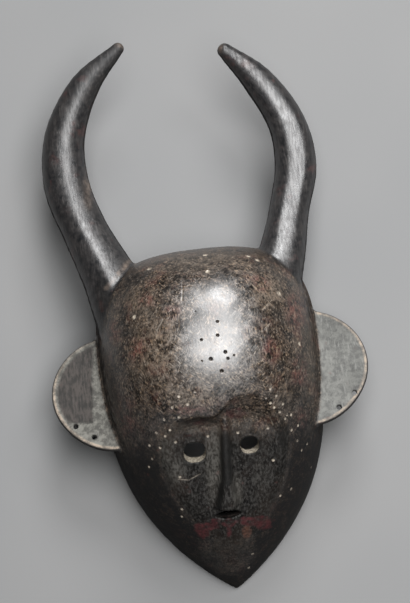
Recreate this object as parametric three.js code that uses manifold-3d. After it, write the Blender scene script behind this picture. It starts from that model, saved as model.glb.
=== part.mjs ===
// A carved wooden face mask: a deep domed head with a scooped face, two round ears and two long
// curved horns, all cut from one block and hollowed from behind.
// It lies on its open back. Lengths are millimetres: +Z is up, out of the face, the chin points
// to -Y and the horns to +Y. While it is modelled, y is counted from just below the chin.
import * as THREE from "three";
import { mergeVertices } from "three/addons/utils/BufferGeometryUtils.js";
import Module from "manifold-3d";

const wasm = await Module();
wasm.setup();

// The outside of the head: its plan narrows to the chin and is squarish at the crown, and its
// profile climbs from the chin to the top of the forehead and falls steeply behind it.
const head = {
  start: 3,
  end: 343,
  halfWidth: 112.5,
  widestY: 243,
  sidePower: 2.85,
  sideRoot: 1.07,
  crownPower: 3,
  height: 169,
  apexY: 216,
  apexRound: 0.2,
  risePower: 1.1,
  riseRoot: 1.4,
  fallPower: 2.4,
};

// The hollow behind it, with walls of about 15 mm at the rim and a little more in the face.
const hollow = {
  start: 27,
  end: 327,
  halfWidth: 97.5,
  widestY: 240,
  sidePower: 2.7,
  sideRoot: 1.1,
  crownPower: 3,
  height: 151,
  apexY: 214,
  apexRound: 0,
  risePower: 1.25,
  riseRoot: 1.25,
  fallPower: 2.4,
};

// A cross-section is a rounder arch at the chin and a squarer one from the cheeks up.
const chinRoundness = 2;
const headRoundness = 2.5;
const squareFromY = 90;

// The scooped face: a flat floor that rises from the mouth to the brow and turns a little to the
// right. Places on it are x across and up the floor.
const facePlaneY = 50;
const facePlaneZ = 69.5;
const faceTilt = THREE.MathUtils.degToRad(31.8);
const faceTurn = THREE.MathUtils.degToRad(2.5);

// The edge of the scoop, from the chin round by the right cheek: where its floor ends, and how far
// its sloping wall has moved out when it is wallHeight above the floor. The right brow is arched
// higher than the left one, with a longer slope below it.
const wallHeight = 10;
const scoopEdge = [
  { x: 0, up: -20, outX: 0, outUp: -14 },
  { x: 34, up: -4, outX: 9, outUp: -8 },
  { x: 54, up: 30, outX: 11, outUp: -2 },
  { x: 60, up: 70, outX: 11, outUp: 2 },
  { x: 52, up: 102, outX: 11, outUp: 11 },
  { x: 36, up: 113, outX: 9, outUp: 25 },
  { x: 17, up: 114, outX: 2, outUp: 25 },
  { x: 0, up: 111, outX: -2, outUp: 14 },
  { x: -19, up: 112, outX: 0, outUp: 14 },
  { x: -39, up: 108, outX: -5, outUp: 15 },
  { x: -48, up: 86, outX: -10, outUp: 2 },
  { x: -45, up: 46, outX: -10, outUp: 0 },
  { x: -34, up: 6, outX: -9, outUp: -6 },
];
const coveShare = 0.4;
const scoopMiddle = 50;
const scoopReach = 40;

// Nose, from the brow down to just above the mouth, leaning a little to the right.
const nose = {
  top: 124,
  bottom: 28,
  topX: 8,
  bottomX: 0.5,
  topHalfWidth: 6.2,
  bottomHalfWidth: 12,
  flareShare: 0.42,
  topHeight: 5.5,
  bottomHeight: 12,
  ridgeShare: 0.45,
  root: 6,
  sections: [0, 0.08, 0.16, 0.25, 0.34, 0.42, 0.7, 1],
};

// Holes through the face: two eyes, cut straight, and the mouth, a slit that widens behind its lips.
const faceHoles = [
  { x: -24, up: 87, width: 21, height: 20, power: 2.4, lipDepth: 0, behind: 1 },
  { x: 28.5, up: 87, width: 17.5, height: 17, power: 2.4, lipDepth: 0, behind: 1 },
  { x: 0.5, up: 19.5, width: 24, height: 8, power: 1.7, lipDepth: 9, behind: 3 },
];
const holeReach = 45;

// Ears: rounded plates that taper to their edge, flattest towards the chin, each with two small
// holes near that side.
const ear = { z: 66, rootThickness: 13, edgeThickness: 8, edgeRound: 2, tilt: 8, flatness: 0.05 };
const ears = [
  { side: -1, x: -99, y: 200, radius: 60 },
  { side: 1, x: 95, y: 202, radius: 61 },
];
const earHoles = [
  { x: 137, y: 171 },
  { x: 120, y: 158 },
];
const earHole = { radius: 2.3, length: 60 };

// Horns: centre points with radii, from inside the head to the tip.
const leftHorn = [
  { x: -74, y: 272, z: 80, radius: 33 },
  { x: -89, y: 318, z: 76, radius: 27.5 },
  { x: -108, y: 369, z: 70, radius: 23.5 },
  { x: -122, y: 420, z: 68, radius: 23.5 },
  { x: -119, y: 470, z: 72, radius: 21 },
  { x: -93, y: 518, z: 84, radius: 15.5 },
  { x: -54, y: 550, z: 97, radius: 6.5 },
];
const rightHorn = [
  { x: 66, y: 272, z: 82, radius: 29 },
  { x: 84, y: 316, z: 76, radius: 24 },
  { x: 98, y: 364, z: 70, radius: 20.5 },
  { x: 111, y: 412, z: 68, radius: 21.5 },
  { x: 108, y: 456, z: 72, radius: 19.5 },
  { x: 84, y: 502, z: 84, radius: 16 },
  { x: 54, y: 534, z: 96, radius: 8 },
];

// About how far apart the stations of a horn are.
const stationSpacing = 50;

// How finely the surfaces are divided.
const headRows = 44;
const headColumns = 40;
const hollowRows = 26;
const hollowColumns = 26;
const hornSteps = 30;
const hornSides = 18;
const tipRings = 3;
const earSides = 44;
const scoopSides = 48;
const holeSides = 16;
const drillSides = 8;

// Half the width of a plan outline at y.
function halfWidthAt(form, y) {
  if (y < form.widestY) {
    const share = (form.widestY - y) / (form.widestY - form.start);
    return form.halfWidth * Math.pow(1 - Math.pow(share, form.sidePower), 1 / form.sideRoot);
  }
  const share = (y - form.widestY) / (form.end - form.widestY);
  return form.halfWidth * Math.pow(1 - Math.pow(share, form.crownPower), 1 / form.crownPower);
}

// Height of the profile on the centre line at y. apexRound is the share of the rise over which the
// profile bends round at its top.
function heightAt(form, y) {
  if (y < form.apexY) {
    const share = (form.apexY - y) / (form.apexY - form.start);
    const bend = (value) => Math.pow(Math.hypot(value, form.apexRound), form.risePower);
    const drop = (bend(share) - bend(0)) / (bend(1) - bend(0));
    return form.height * Math.pow(Math.max(1 - drop, 0), 1 / form.riseRoot);
  }
  const share = (y - form.apexY) / (form.end - form.apexY);
  return form.height * Math.pow(1 - Math.pow(share, form.fallPower), 1 / form.fallPower);
}

function roundnessAt(form, y) {
  const share = THREE.MathUtils.smoothstep(y - form.start, 0, squareFromY);
  return THREE.MathUtils.lerp(chinRoundness, headRoundness, share);
}

// A closed geometry from rings of equal length, with a fan to one point at each end.
function skin(rings, firstPoint, lastPoint) {
  const size = rings[0].length;
  const points = [...rings.flat(), firstPoint, lastPoint];
  const first = rings.length * size;
  const index = [];
  for (let j = 0; j < size; j++) {
    const next = (j + 1) % size;
    for (let i = 0; i < rings.length - 1; i++) {
      const a = i * size + j;
      const b = i * size + next;
      index.push(a, b, b + size, a, b + size, a + size);
    }
    const top = (rings.length - 1) * size;
    index.push(first, next, j);
    index.push(first + 1, top + j, top + next);
  }
  const geometry = new THREE.BufferGeometry().setFromPoints(points);
  geometry.setIndex(index);
  return geometry;
}

// A manifold-3d solid from a closed three.js geometry, turned to face out if it faces in.
function solid(geometry) {
  const bare = geometry.clone();
  bare.deleteAttribute("normal");
  bare.deleteAttribute("uv");
  const merged = mergeVertices(bare, 1e-3);
  const vertProperties = merged.attributes.position.array;
  const triVerts = new Uint32Array(merged.index.array);
  const made = new wasm.Manifold(new wasm.Mesh({ numProp: 3, vertProperties, triVerts }));
  if (made.volume() > 0) return made;
  for (let i = 0; i < triVerts.length; i += 3) {
    [triVerts[i + 1], triVerts[i + 2]] = [triVerts[i + 2], triVerts[i + 1]];
  }
  return new wasm.Manifold(new wasm.Mesh({ numProp: 3, vertProperties, triVerts }));
}

// An arched body: sections along Y, each an arch over a flat base at the height floorZ.
function archedBody(form, rows, columns, floorZ) {
  const rings = [];
  for (let i = 1; i < rows; i++) {
    const y = form.start + ((form.end - form.start) * (1 - Math.cos((Math.PI * i) / rows))) / 2;
    const power = 2 / roundnessAt(form, y);
    const halfWidth = halfWidthAt(form, y);
    const height = heightAt(form, y);
    const ring = [];
    for (let j = 0; j <= columns; j++) {
      const angle = (Math.PI * j) / columns;
      const across = Math.cos(angle);
      const x = halfWidth * Math.sign(across) * Math.pow(Math.abs(across), power);
      const z = height * Math.pow(Math.max(Math.sin(angle), 0), power);
      ring.push(new THREE.Vector3(x, y, z));
    }
    if (floorZ < 0) {
      ring.unshift(new THREE.Vector3(halfWidth, y, floorZ));
      ring.push(new THREE.Vector3(-halfWidth, y, floorZ));
    }
    rings.push(ring);
  }
  const chinPoint = new THREE.Vector3(0, form.start, floorZ / 2);
  const crownPoint = new THREE.Vector3(0, form.end, floorZ / 2);
  return solid(skin(rings, chinPoint, crownPoint));
}

function facePoint(x, up, out) {
  return new THREE.Vector3(x, up, out);
}

// Places a geometry drawn on the face's floor: x across, y up the face, z out of it.
function onFace(geometry) {
  return solid(geometry.rotateY(faceTurn).rotateX(faceTilt).translate(0, facePlaneY, facePlaneZ));
}

// The wood scooped away from the face, with a cove where its wall leaves the floor.
function scoopCutter() {
  const floorPoints = scoopEdge.map((p) => facePoint(p.x, p.up, 0));
  const wallPoints = scoopEdge.map((p) => facePoint(p.x + p.outX, p.up + p.outUp, 0));
  const floorEdge = new THREE.CatmullRomCurve3(floorPoints, true);
  const wallEdge = new THREE.CatmullRomCurve3(wallPoints, true);
  const ringAt = (share, height) => {
    const ring = [];
    for (let i = 0; i < scoopSides; i++) {
      const t = i / scoopSides;
      const point = floorEdge.getPoint(t).lerp(wallEdge.getPoint(t), share);
      ring.push(point.setZ(height));
    }
    return ring;
  };
  const rings = [
    ringAt(0, 0),
    ringAt(coveShare, wallHeight / 4),
    ringAt(1, wallHeight),
    ringAt(1, scoopReach),
  ];
  const middle = facePoint(0, scoopMiddle, 0);
  return onFace(skin(rings, middle, middle.clone().setZ(scoopReach)));
}

// A long wedge with a narrow front ridge, flat at its lower end.
function noseSolid() {
  const sectionAt = (share) => {
    const x = THREE.MathUtils.lerp(nose.bottomX, nose.topX, share);
    const up = THREE.MathUtils.lerp(nose.bottom, nose.top, share);
    const narrowing = THREE.MathUtils.smoothstep(share, 0, nose.flareShare);
    const half = THREE.MathUtils.lerp(nose.bottomHalfWidth, nose.topHalfWidth, narrowing);
    const height = THREE.MathUtils.lerp(nose.bottomHeight, nose.topHeight, share);
    const ridge = half * nose.ridgeShare;
    return [
      facePoint(x - half, up, -nose.root),
      facePoint(x + half, up, -nose.root),
      facePoint(x + half, up, 0),
      facePoint(x + ridge, up, height),
      facePoint(x - ridge, up, height),
      facePoint(x - half, up, 0),
    ];
  };
  const lowerEnd = facePoint(nose.bottomX, nose.bottom, 0);
  const upperEnd = facePoint(nose.topX, nose.top, 0);
  return onFace(skin(nose.sections.map(sectionAt), lowerEnd, upperEnd));
}

// One outline of a hole: a little square for a power above 2, with pointed sides for one below it.
function holeRing({ x, up, width, height, power }, out, scale) {
  const ring = [];
  for (let i = 0; i < holeSides; i++) {
    const angle = (2 * Math.PI * i) / holeSides;
    const c = Math.cos(angle);
    const s = Math.sin(angle);
    const across = (scale * width * Math.sign(c) * Math.pow(Math.abs(c), 2 / power)) / 2;
    const along = (scale * height * Math.sign(s) * Math.pow(Math.abs(s), 2 / power)) / 2;
    ring.push(facePoint(x + across, up + along, out));
  }
  return ring;
}

// A straight hole through the face, or one that widens behind its lips.
function faceHole(hole) {
  const { x, up, lipDepth, behind } = hole;
  const rings = [
    holeRing(hole, -holeReach, behind),
    holeRing(hole, -lipDepth, 1),
    holeRing(hole, holeReach, 1),
  ];
  return onFace(skin(rings, facePoint(x, up, -holeReach), facePoint(x, up, holeReach)));
}

function earSolid({ side, x, y, radius }) {
  const towardsChin = side > 0 ? -Math.PI / 4 : (-3 * Math.PI) / 4;
  const ringAt = (inset, height) => {
    const ring = [];
    for (let i = 0; i < earSides; i++) {
      const angle = (2 * Math.PI * i) / earSides;
      const facing = Math.max(Math.cos(angle - towardsChin), 0);
      const reach = radius * (1 - ear.flatness * Math.pow(facing, 4)) - inset;
      ring.push(new THREE.Vector3(reach * Math.cos(angle), reach * Math.sin(angle), height));
    }
    return ring;
  };
  const half = ear.edgeThickness / 2;
  const rings = [
    ringAt(ear.edgeRound, -half),
    ringAt(0, -half / 2),
    ringAt(0, half / 2),
    ringAt(ear.edgeRound, half),
  ];
  const underside = new THREE.Vector3(0, 0, -ear.rootThickness / 2);
  const plate = skin(rings, underside, underside.clone().negate());
  return solid(plate.rotateX(-THREE.MathUtils.degToRad(ear.tilt)).translate(x, y, ear.z));
}

function earHoleSolid(side, hole) {
  const drill = new THREE.CylinderGeometry(earHole.radius, earHole.radius, earHole.length, drillSides);
  return solid(drill.rotateX(Math.PI / 2).translate(side * hole.x, hole.y, ear.z));
}

// A round body that follows a smooth curve through the stations, with a blunt rounded tip.
function hornSolid(stations) {
  const path = new THREE.CatmullRomCurve3(stations.map((s) => new THREE.Vector3(s.x, s.y, s.z)));
  const frames = path.computeFrenetFrames(hornSteps, false);
  const radii = stations.map((s, i) => new THREE.Vector3(i * stationSpacing, s.radius, 0));
  const taper = new THREE.CatmullRomCurve3(radii);
  const radiusAt = (t) => taper.getPoint(t).y;
  const rings = [];
  for (let i = 0; i <= hornSteps; i++) {
    const u = i / hornSteps;
    const centre = path.getPointAt(u);
    const radius = radiusAt(path.getUtoTmapping(u));
    const ring = [];
    for (let j = 0; j < hornSides; j++) {
      const angle = (2 * Math.PI * j) / hornSides;
      const across = frames.normals[i].clone().multiplyScalar(radius * Math.cos(angle));
      const along = frames.binormals[i].clone().multiplyScalar(radius * Math.sin(angle));
      ring.push(centre.clone().add(across).add(along));
    }
    rings.push(ring);
  }
  const tipRadius = stations[stations.length - 1].radius;
  const end = path.getPointAt(1);
  const tipAt = (share) => {
    const angle = (share * Math.PI) / 2;
    const shift = frames.tangents[hornSteps].clone().multiplyScalar(tipRadius * Math.sin(angle));
    const lastRing = rings[hornSteps];
    return lastRing.map((p) => p.clone().sub(end).multiplyScalar(Math.cos(angle)).add(end).add(shift));
  };
  for (let i = 1; i < tipRings; i++) rings.push(tipAt(i / tipRings));
  const tip = frames.tangents[hornSteps].clone().multiplyScalar(tipRadius).add(end);
  return solid(skin(rings, path.getPointAt(0), tip));
}

function carvedMask() {
  let wood = archedBody(head, headRows, headColumns, 0).subtract(scoopCutter()).add(noseSolid());
  for (const plate of ears) wood = wood.add(earSolid(plate));
  wood = wood.add(hornSolid(leftHorn)).add(hornSolid(rightHorn));
  wood = wood.subtract(archedBody(hollow, hollowRows, hollowColumns, -20));
  for (const hole of faceHoles) wood = wood.subtract(faceHole(hole));
  for (const side of [-1, 1]) {
    for (const hole of earHoles) wood = wood.subtract(earHoleSolid(side, hole));
  }
  return wood;
}

// The origin is under the middle of the bounding box, on the surface that the rim lies on.
function centred(wood) {
  const mesh = wood.getMesh();
  const geometry = new THREE.BufferGeometry();
  geometry.setAttribute("position", new THREE.BufferAttribute(mesh.vertProperties, 3));
  geometry.setIndex(new THREE.BufferAttribute(mesh.triVerts, 1));
  geometry.computeBoundingBox();
  const { min, max } = geometry.boundingBox;
  geometry.translate(-(min.x + max.x) / 2, -(min.y + max.y) / 2, -min.z);
  geometry.computeVertexNormals();
  return geometry;
}

const darkWood = new THREE.MeshStandardMaterial({ color: 0x2c211b, roughness: 0.45, metalness: 0 });

const mask = new THREE.Mesh(centred(carvedMask()), darkWood);
mask.name = "mask";

const object = new THREE.Group();
object.add(mask);

export default object;
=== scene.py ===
# Looks of a carved wooden mask with a domed head, a scooped face, round ears and two long horns.
# The surface is worked out as a field of distances from the same forms as the CAD part, turned
# into one mesh, refined where the carving is fine, and carved with tool marks, pits and scratches.
# Lengths are millimetres in the carving's own frame: y is counted from just below the chin.
import itertools
import math

import bpy
import numpy as np
from mathutils import Matrix, Vector


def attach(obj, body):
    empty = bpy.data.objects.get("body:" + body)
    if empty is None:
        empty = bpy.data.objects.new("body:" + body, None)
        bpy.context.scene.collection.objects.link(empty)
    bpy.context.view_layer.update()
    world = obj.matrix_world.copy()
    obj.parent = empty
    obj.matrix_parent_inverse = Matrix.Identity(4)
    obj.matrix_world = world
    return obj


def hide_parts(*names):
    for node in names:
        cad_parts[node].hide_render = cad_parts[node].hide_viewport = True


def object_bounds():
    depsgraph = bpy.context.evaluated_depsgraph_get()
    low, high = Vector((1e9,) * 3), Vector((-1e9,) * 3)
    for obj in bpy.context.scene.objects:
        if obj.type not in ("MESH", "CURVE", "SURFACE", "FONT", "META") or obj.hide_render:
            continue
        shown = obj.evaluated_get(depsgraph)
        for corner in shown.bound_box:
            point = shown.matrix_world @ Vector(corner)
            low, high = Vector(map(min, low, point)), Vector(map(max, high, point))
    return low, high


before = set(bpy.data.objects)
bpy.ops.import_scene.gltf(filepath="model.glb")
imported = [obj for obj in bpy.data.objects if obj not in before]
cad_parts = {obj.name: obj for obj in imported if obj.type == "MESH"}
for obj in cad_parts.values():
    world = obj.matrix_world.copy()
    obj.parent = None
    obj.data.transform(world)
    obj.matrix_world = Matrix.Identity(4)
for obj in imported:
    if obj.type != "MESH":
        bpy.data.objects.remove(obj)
cad_low, cad_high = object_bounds()

MM = 0.001

# The outside of the head and the hollow behind it.
HEAD = {
    "start": 3, "end": 343,
    "half_width": 112.5, "widest_y": 243, "side_power": 2.85, "side_root": 1.07, "crown_power": 3,
    "height": 169, "apex_y": 216, "apex_round": 0.2, "rise_power": 1.1, "rise_root": 1.4,
    "fall_power": 2.4,
}
HOLLOW = {
    "start": 27, "end": 327,
    "half_width": 97.5, "widest_y": 240, "side_power": 2.7, "side_root": 1.1, "crown_power": 3,
    "height": 151, "apex_y": 214, "apex_round": 0, "rise_power": 1.25, "rise_root": 1.25,
    "fall_power": 2.4,
}
CHIN_ROUNDNESS = 2
HEAD_ROUNDNESS = 2.5
SQUARE_FROM_Y = 90

# The face: a floor that rises from the mouth to the brow. Places on it are across, up and out.
FACE_Y = 50
FACE_Z = 69.5
FACE_TILT = math.radians(31.8)
FACE_TURN = math.radians(2.5)

# The edge of the scoop: (across, up) where its floor ends, and how far the wall has moved out
# when it is WALL_HEIGHT above the floor.
WALL_HEIGHT = 10
COVE_POWER = 1.5
SCOOP_EDGE = [
    (0, -20, 0, -14), (34, -4, 9, -8), (54, 30, 11, -2), (60, 70, 11, 2), (52, 102, 11, 11),
    (36, 113, 9, 25), (17, 114, 2, 25), (0, 111, -2, 14), (-19, 112, 0, 14), (-39, 108, -5, 15),
    (-48, 86, -10, 2), (-45, 46, -10, 0), (-34, 6, -9, -6),
]

NOSE = {
    "top": 124, "bottom": 28, "top_x": 8, "bottom_x": 0.5,
    "top_half_width": 6.2, "bottom_half_width": 12, "flare_share": 0.42,
    "top_height": 5.5, "bottom_height": 12, "ridge_share": 0.45,
}

EYES = [
    {"x": -24, "up": 87, "width": 21, "height": 20, "power": 2.4, "lip": 0, "behind": 1},
    {"x": 28.5, "up": 87, "width": 17.5, "height": 17, "power": 2.4, "lip": 0, "behind": 1},
]
MOUTH = {"x": 0.5, "up": 19.5, "width": 24, "height": 8, "power": 1.7, "lip": 9, "behind": 3}
HOLE_REACH = 45

EAR_Z = 66
EAR_ROOT = 13
EAR_EDGE = 8
EAR_TILT = math.radians(8)
EAR_FLATNESS = 0.05
EAR_RIM = 4.5
EAR_RIM_SLOPE = 1.5
EAR_DISH = 0.9
EARS = [
    {"x": -99, "y": 200, "radius": 60, "flat_towards": math.radians(-135)},
    {"x": 95, "y": 202, "radius": 61, "flat_towards": math.radians(-45)},
]
EAR_HOLES = [(137, 171), (120, 158)]
EAR_HOLE_RADIUS = 2.3

# Horns: x, y, z and radius of each station, from inside the head to the tip.
LEFT_HORN = [
    (-74, 272, 80, 33), (-89, 318, 76, 27.5), (-108, 369, 70, 23.5), (-122, 420, 68, 23.5),
    (-119, 470, 72, 21), (-93, 518, 84, 15.5), (-54, 550, 97, 6.5),
]
RIGHT_HORN = [
    (66, 272, 82, 29), (84, 316, 76, 24), (98, 364, 70, 20.5), (111, 412, 68, 21.5),
    (108, 456, 72, 19.5), (84, 502, 84, 16), (54, 534, 96, 8),
]
STATION_SPACING = 50
HORN_STEPS = 5
HORN_REACH = 45

# From the carving's frame to the part's: the CAD box says where the chin and the right ear are.
RIGHT_EAR_REACH = 155.24
SHIFT = np.array([cad_high.x / MM - RIGHT_EAR_REACH, cad_low.y / MM - HEAD["start"], 0.0])

# How softly one form runs into the next.
SCOOP_SOFT = 2.5
SCOOP_WALL_SOFT = 3
NOSE_SOFT = 2.5
EAR_SOFT = 5
EAR_EDGE_SOFT = 4
EAR_HOLE_SOFT = 0.8
HORN_SOFT = 4
RIM_SOFT = 4
HOLE_SOFT = 1.6
FAR = 60.0

# What the tables of distances cover, across, along and up. A profile is closed below the floor.
TABLE_X = 170
TABLE_Y = (-10, 575)
TABLE_Z = (-40, 190)
PROFILE_BOTTOM = -60
OUTLINE_STEPS = 120

# The mesh: the first grid, and the longest edge wanted in each place.
GRID_LOW = np.array([-164.0, -4.0, -6.0])
GRID_SIZE = (328, 570, 184)
CELL = 3.0
EDGE_PLAIN = 5.0
EDGE_OUTSIDE = 3.3
EDGE_FACE = 1.8
EDGE_SEAM = 2.0
EDGE_EAR = 2.2
EDGE_EAR_RIM = 1.5
EDGE_HOLE = 1.08
EDGE_DETAIL = 0.9

# How far the finer mesh reaches round each form, and how high it begins and ends.
HOLLOW_REACH = 1.5
PLAIN_BELOW_Z = 25
SEAM_REACH = 4
SEAM_ABOVE_Z = 40
EAR_REACH = 2
EAR_RIM_REACH = 6
FACE_REACH = 6
HOLE_REACH_ROUND = 2.5
HOLE_REACH_IN = -9
HOLE_REACH_OUT = 15
SCRATCH_REACH = 1.5


# Goes softly from 0 at low to 1 at high, and fade the other way round.
def smooth(value, low, high):
    share = np.clip((value - low) / (high - low), 0, 1)
    return share * share * (3 - 2 * share)


def fade(value, low, high):
    return 1 - smooth(value, low, high)


def mix(a, b, share):
    return a + (b - a) * share


def soft_max(a, b, width):
    share = np.clip(0.5 + 0.5 * (a - b) / width, 0, 1)
    return mix(b, a, share) + width * share * (1 - share)


def soft_min(a, b, width):
    return -soft_max(-a, -b, width)


# Noise: a smooth random value between -1 and 1 at each point, from a hashed lattice.
def lattice(cells, seed):
    mixed = cells[:, 0] * 73856093 ^ cells[:, 1] * 19349663 ^ cells[:, 2] * 83492791 ^ seed * 2654435
    mixed = (mixed ^ (mixed >> 13)) * 1274126177
    mixed = (mixed ^ (mixed >> 16)) & 0xFFFFFF
    return mixed / 0x7FFFFF - 1


def noise(points, size, seed):
    place = points / size
    cells = np.floor(place).astype(np.int64)
    share = smooth(place - cells, 0, 1)
    total = np.zeros(len(points))
    for corner in itertools.product((0, 1), repeat=3):
        weight = np.where(corner, share, 1 - share).prod(1)
        total += weight * lattice(cells + corner, seed)
    return total


# Half the width of an arched body in plan, and the height of its profile.
def half_width_at(form, y):
    before = np.clip((form["widest_y"] - y) / (form["widest_y"] - form["start"]), 0, 1)
    behind = np.clip((y - form["widest_y"]) / (form["end"] - form["widest_y"]), 0, 1)
    side = (1 - before ** form["side_power"]) ** (1 / form["side_root"])
    crown = (1 - behind ** form["crown_power"]) ** (1 / form["crown_power"])
    return form["half_width"] * side * crown


def height_at(form, y):
    rise = np.clip((form["apex_y"] - y) / (form["apex_y"] - form["start"]), 0, 1)
    fall = np.clip((y - form["apex_y"]) / (form["end"] - form["apex_y"]), 0, 1)
    rounding = form["apex_round"] ** form["rise_power"]
    full = math.hypot(1, form["apex_round"]) ** form["rise_power"]
    drop = (np.hypot(rise, form["apex_round"]) ** form["rise_power"] - rounding) / (full - rounding)
    climb = np.clip(1 - drop, 0, 1) ** (1 / form["rise_root"])
    return form["height"] * climb * (1 - fall ** form["fall_power"]) ** (1 / form["fall_power"])


# Signed distances from a closed outline, tabled on a grid of whole millimetres, and read from it.
def outline_table(outline, low, high):
    u, v = np.mgrid[low[0]:high[0] + 1.0, low[1]:high[1] + 1.0]
    nearest = np.full(u.shape, np.inf)
    inside = np.zeros(u.shape, bool)
    for (au, av), (bu, bv) in zip(outline, np.roll(outline, -1, axis=0)):
        eu, ev = bu - au, bv - av
        length = eu * eu + ev * ev
        if length == 0:
            continue
        share = np.clip(((u - au) * eu + (v - av) * ev) / length, 0, 1)
        nearest = np.minimum(nearest, np.hypot(u - au - share * eu, v - av - share * ev))
        if ev:
            crossed = (av > v) != (bv > v)
            inside ^= crossed & (u < au + (v - av) * eu / ev)
    return {"low": low, "values": np.where(inside, -nearest, nearest)}


def look_up(table, u, v):
    values = table["values"]
    i = np.clip(u - table["low"][0], 0, values.shape[0] - 1.001)
    j = np.clip(v - table["low"][1], 0, values.shape[1] - 1.001)
    i0, j0 = i.astype(int), j.astype(int)
    near = mix(values[i0, j0], values[i0 + 1, j0], i - i0)
    far = mix(values[i0, j0 + 1], values[i0 + 1, j0 + 1], i - i0)
    return mix(near, far, j - j0)


for form in (HEAD, HOLLOW):
    turn = np.linspace(0, math.pi, OUTLINE_STEPS + 1)
    y = form["start"] + (form["end"] - form["start"]) * (1 - np.cos(turn)) / 2
    width = half_width_at(form, y)
    height = height_at(form, y)
    plan = np.concatenate([np.stack([width, y], 1), np.stack([-width, y], 1)[::-1]])
    form["plan"] = outline_table(plan, (-TABLE_X, TABLE_Y[0]), (TABLE_X, TABLE_Y[1]))
    bottom = [(form["end"], PROFILE_BOTTOM), (form["start"], PROFILE_BOTTOM)]
    profile = np.concatenate([np.stack([y, height], 1), bottom])
    form["profile"] = outline_table(profile, *zip(TABLE_Y, TABLE_Z))


# An arched body: below zero inside it.
def arch_level(form, x, y, z):
    tip = 0.2
    y = np.clip(y, form["start"] + tip, form["end"] - tip)
    power = mix(CHIN_ROUNDNESS, HEAD_ROUNDNESS, smooth(y - form["start"], 0, SQUARE_FROM_Y))
    across = (np.abs(x) / half_width_at(form, y)) ** power
    return (across + (np.maximum(z, 0) / height_at(form, y)) ** power) ** (1 / power) - 1


# The same as a rough distance, by dividing by its slope. Far outside, where that falls short, the
# distances from its plan and from its profile are better.
def arch_distance(form, x, y, z):
    step = 0.5
    flattest = 0.002
    here = arch_level(form, x, y, z)
    slope = np.sqrt(
        (arch_level(form, x + step, y, z) - here) ** 2
        + (arch_level(form, x, y + step, z) - here) ** 2
        + (arch_level(form, x, y, z + step) - here) ** 2
    ) / step
    distance = here / np.maximum(slope, flattest)
    outside = np.maximum(look_up(form["plan"], x, y), look_up(form["profile"], y, z))
    return np.where((here > 0) | (outside > 0), np.maximum(distance, outside), distance)


# Points on a centripetal Catmull-Rom curve through the stations, some steps to each.
def smooth_curve(stations, closed, steps):
    p = np.array(stations, float)
    if closed:
        p = np.concatenate([p[-1:], p, p[:2]])
    else:
        p = np.concatenate([2 * p[:1] - p[1:2], p, 2 * p[-1:] - p[-2:-1]])
    made = []
    for a, b, c, d in zip(p, p[1:], p[2:], p[3:]):
        gap = [max(np.linalg.norm(v - u), 1e-6) ** 0.5 for u, v in ((a, b), (b, c), (c, d))]
        leave = ((b - a) / gap[0] - (c - a) / (gap[0] + gap[1]) + (c - b) / gap[1]) * gap[1]
        arrive = ((c - b) / gap[1] - (d - b) / (gap[1] + gap[2]) + (d - c) / gap[2]) * gap[1]
        for i in range(steps):
            t = i / steps
            curve = (2 * b - 2 * c + leave + arrive) * t ** 3
            made.append(curve + (3 * c - 3 * b - 2 * leave - arrive) * t ** 2 + leave * t + b)
    if not closed:
        made.append(p[-2])
    return np.array(made)


def face_place(x, y, z):
    y = y - FACE_Y
    z = z - FACE_Z
    up = y * math.cos(FACE_TILT) + z * math.sin(FACE_TILT)
    out = z * math.cos(FACE_TILT) - y * math.sin(FACE_TILT)
    across = x * math.cos(FACE_TURN) - out * math.sin(FACE_TURN)
    return across, up, x * math.sin(FACE_TURN) + out * math.cos(FACE_TURN)


# The scoop's floor and wall as tables, over this much of the face.
FACE_LOW = (-100, -70)
FACE_HIGH = (100, 180)
floor_edge = [(x, up) for x, up, _, _ in SCOOP_EDGE]
wall_edge = [(x + out_x, up + out_up) for x, up, out_x, out_up in SCOOP_EDGE]
FLOOR_TABLE, WALL_TABLE = [
    outline_table(smooth_curve(edge, closed=True, steps=8), FACE_LOW, FACE_HIGH)
    for edge in (floor_edge, wall_edge)
]


# The wood scooped away: below zero inside it.
def scoop_level(across, up, out):
    floor = np.maximum(look_up(FLOOR_TABLE, across, up), 0)
    wall = look_up(WALL_TABLE, across, up)
    share = floor / (floor + np.maximum(-wall, 0) + 1e-6)
    return soft_max(WALL_HEIGHT * share ** COVE_POWER - out, wall, SCOOP_WALL_SOFT)


def nose_shape(up):
    share = np.clip((up - NOSE["bottom"]) / (NOSE["top"] - NOSE["bottom"]), 0, 1)
    middle = mix(NOSE["bottom_x"], NOSE["top_x"], share)
    narrowing = smooth(share, 0, NOSE["flare_share"])
    half = mix(NOSE["bottom_half_width"], NOSE["top_half_width"], narrowing)
    height = mix(NOSE["bottom_height"], NOSE["top_height"], share)
    return middle, half, height


def nose_level(across, up, out):
    middle, half, height = nose_shape(up)
    aside = np.abs(across - middle)
    lean = half * (1 - NOSE["ridge_share"])
    side = ((aside - half) * height + out * lean) / np.hypot(height, lean)
    level = soft_max(np.maximum(side, aside - half), out - height, NOSE_SOFT)
    return soft_max(level, np.maximum(NOSE["bottom"] - up, up - NOSE["top"]), NOSE_SOFT)


# A hole through the face, rounder or more pointed by its power, that widens behind its lips.
def hole_level(hole, across, up, out):
    widening = np.clip((-hole["lip"] - out) / (HOLE_REACH - hole["lip"]), 0, 1)
    scale = mix(1, hole["behind"], widening)
    dx = np.abs(across - hole["x"]) / (hole["width"] / 2 * scale)
    du = np.abs(up - hole["up"]) / (hole["height"] / 2 * scale)
    level = (dx ** hole["power"] + du ** hole["power"]) ** (1 / hole["power"]) - 1
    return np.maximum(level * min(hole["width"], hole["height"]) / 2, np.abs(out) - HOLE_REACH)


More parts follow.
